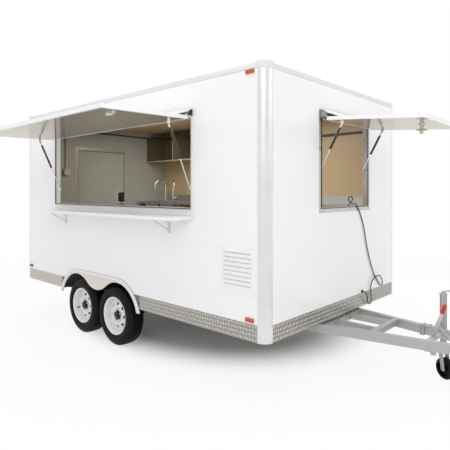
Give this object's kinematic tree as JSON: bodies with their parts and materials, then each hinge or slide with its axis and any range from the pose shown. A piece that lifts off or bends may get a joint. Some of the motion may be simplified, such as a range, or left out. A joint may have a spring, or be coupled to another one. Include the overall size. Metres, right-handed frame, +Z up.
{
  "type": "food trailer",
  "caption": "Tandem-axle box food trailer with a raised serving awning, counter shelf, front hatch, rear door, A-frame drawbar and jockey wheel.",
  "frame": {"origin": "centre of the coupling's ball socket", "axes": "+X forward along the drawbar, +Z up, the serving side faces -Y"},
  "size_m": [5.7585, 3.3138, 2.602],
  "materials": {
    "white_panel": "white gloss fibreglass skin on a foam sandwich",
    "edge_rail": "white-grey powder-coated edge extrusion",
    "aluminium": "satin anodised aluminium",
    "checker_plate": "aluminium tread plate",
    "galvanised": "hot-dip galvanised steel",
    "zinc": "zinc-plated steel",
    "lever": "zinc-plated lever with a red plastic grip",
    "black_steel": "black painted steel",
    "chrome_rod": "polished metal",
    "stainless": "brushed stainless steel",
    "floor_ply": "sealed plywood floor",
    "liner": "black inner arch liner",
    "rim_white": "white painted steel wheel",
    "tyre": "black tyre",
    "amber_lens": "orange lens",
    "red_lens": "red lens",
    "box_plastic": "pale plastic",
    "black_rubber": "black rubber"
  },
  "bodies": {
    "trailer": {"chassis_frame": "galvanised", "rear_steadies": "galvanised", "drawbar": "galvanised", "coupling": "zinc", "handbrake_lever": "lever", "jockey_post": "galvanised", "floor_panel": "floor_ply", "roof_panel": "white_panel", "wall_serving_side": "white_panel", "wall_far_side": "white_panel", "wall_front": "white_panel", "wall_rear": "white_panel", "corner_posts": "aluminium", "roof_edges": "edge_rail", "skirt": "checker_plate", "mudguards": "edge_rail", "wheel_boxes": "liner", "axles": "black_steel", "leaf_springs": "black_steel", "serving_window_frame": "edge_rail", "front_window_frame": "aluminium", "shelf_plates": "zinc", "vent_louvre": "edge_rail", "marker_lamps": "amber_lens", "tail_lamps": "red_lens", "door_frame": "aluminium", "kitchen_bench": "stainless", "sink_bowls": "stainless", "bench_legs": "stainless", "bench_shelf": "stainless", "taps": "chrome_rod", "overhead_cabinet": "stainless", "switch_box": "box_plastic", "cord_gland": "black_rubber", "lead": "black_rubber", "lead_plug": "black_rubber"},
    "wheel_front_near": {"rim_front_near": "rim_white", "tyre_front_near": "tyre"},
    "wheel_front_far": {"rim_front_far": "rim_white", "tyre_front_far": "tyre"},
    "wheel_rear_near": {"rim_rear_near": "rim_white", "tyre_rear_near": "tyre"},
    "wheel_rear_far": {"rim_rear_far": "rim_white", "tyre_rear_far": "tyre"},
    "jockey_stem": {"jockey_stem": "galvanised"},
    "jockey_fork": {"jockey_fork": "galvanised"},
    "jockey_wheel": {"jockey_wheel": "tyre"},
    "awning": {"awning": "white_panel"},
    "awning_cylinders": {"awning_cylinders": "black_steel"},
    "awning_rods": {"awning_rods": "chrome_rod"},
    "front_hatch": {"front_hatch": "white_panel"},
    "front_hatch_cylinders": {"hatch_cylinders": "black_steel"},
    "front_hatch_rods": {"hatch_rods": "chrome_rod"},
    "counter_shelf": {"counter_shelf": "white_panel"},
    "shelf_struts": {"shelf_struts": "zinc"},
    "entry_door": {"entry_door": "white_panel"}
  },
  "joints": [
    {"name": "wheel_front_near_spin", "type": "hinge", "parent": "trailer", "child": "wheel_front_near", "pos_m": [-3.685, -1.11, -0.1445], "axis": [0, 1, 0], "continuous": true},
    {"name": "wheel_front_far_spin", "type": "hinge", "parent": "trailer", "child": "wheel_front_far", "pos_m": [-3.685, 1.11, -0.1445], "axis": [0, 1, 0], "continuous": true},
    {"name": "wheel_rear_near_spin", "type": "hinge", "parent": "trailer", "child": "wheel_rear_near", "pos_m": [-4.325, -1.11, -0.1445], "axis": [0, 1, 0], "continuous": true},
    {"name": "wheel_rear_far_spin", "type": "hinge", "parent": "trailer", "child": "wheel_rear_far", "pos_m": [-4.325, 1.11, -0.1445], "axis": [0, 1, 0], "continuous": true},
    {"name": "jockey_lift", "type": "slide", "parent": "trailer", "child": "jockey_stem", "axis": [0, 0, 1], "range_m": [0, 0.1]},
    {"name": "jockey_swivel", "type": "hinge", "parent": "jockey_stem", "child": "jockey_fork", "pos_m": [-0.895, 0.25439, -0.207], "axis": [0, 0, 1], "continuous": true},
    {"name": "jockey_spin", "type": "hinge", "parent": "jockey_fork", "child": "jockey_wheel", "pos_m": [-0.87293, 0.24266, -0.362], "axis": [0.4695, 0.8829, 0], "continuous": true},
    {"name": "awning_hinge", "type": "hinge", "parent": "trailer", "child": "awning", "pos_m": [-3.703, -1.252, 1.808], "axis": [1, 0, 0], "range_deg": [0, 89]},
    {"name": "awning_cylinder_pivot", "type": "hinge", "parent": "awning", "child": "awning_cylinders", "pos_m": [-3.703, -1.42672, 1.73294], "axis": [1, 0, 0], "range_deg": [-112.88, 0.5]},
    {"name": "awning_rod_slide", "type": "slide", "parent": "awning_cylinders", "child": "awning_rods", "axis": [0, 0.4168, -0.909], "range_m": [-0.1574, 0.0005]},
    {"name": "front_hatch_hinge", "type": "hinge", "parent": "trailer", "child": "front_hatch", "pos_m": [-1.648, 0.051, 1.808], "axis": [0, 1, 0], "range_deg": [0, 85.5]},
    {"name": "front_hatch_cylinder_pivot", "type": "hinge", "parent": "front_hatch", "child": "front_hatch_cylinders", "pos_m": [-1.52578, 0.051, 1.74221], "axis": [0, 1, 0], "range_deg": [-110.22, 0.5]},
    {"name": "front_hatch_rod_slide", "type": "slide", "parent": "front_hatch_cylinders", "child": "front_hatch_rods", "axis": [-0.4765, 0, -0.8791], "range_m": [-0.1119, 0.0005]},
    {"name": "shelf_hinge", "type": "hinge", "parent": "trailer", "child": "counter_shelf", "pos_m": [-3.705, -1.222, 0.902], "axis": [1, 0, 0], "range_deg": [0, 90]},
    {"name": "shelf_strut_pivot", "type": "hinge", "parent": "counter_shelf", "child": "shelf_struts", "pos_m": [-3.705, -1.372, 0.893], "axis": [1, 0, 0], "range_deg": [-151.48, 0.5]},
    {"name": "door_hinge", "type": "hinge", "parent": "trailer", "child": "entry_door", "pos_m": [-5.712, -0.493, 0.948], "axis": [0, 0, 1], "range_deg": [0, 120]}
  ],
  "couplings": [
    {"joint": "awning_cylinder_pivot", "follows": "awning_hinge", "ratio": -1.2627},
    {"joint": "awning_rod_slide", "follows": "awning_hinge", "m_per_rad": -0.10099},
    {"joint": "front_hatch_cylinder_pivot", "follows": "front_hatch_hinge", "ratio": -1.2832},
    {"joint": "front_hatch_rod_slide", "follows": "front_hatch_hinge", "m_per_rad": -0.074641},
    {"joint": "shelf_strut_pivot", "follows": "shelf_hinge", "ratio": -1.6775}
  ]
}
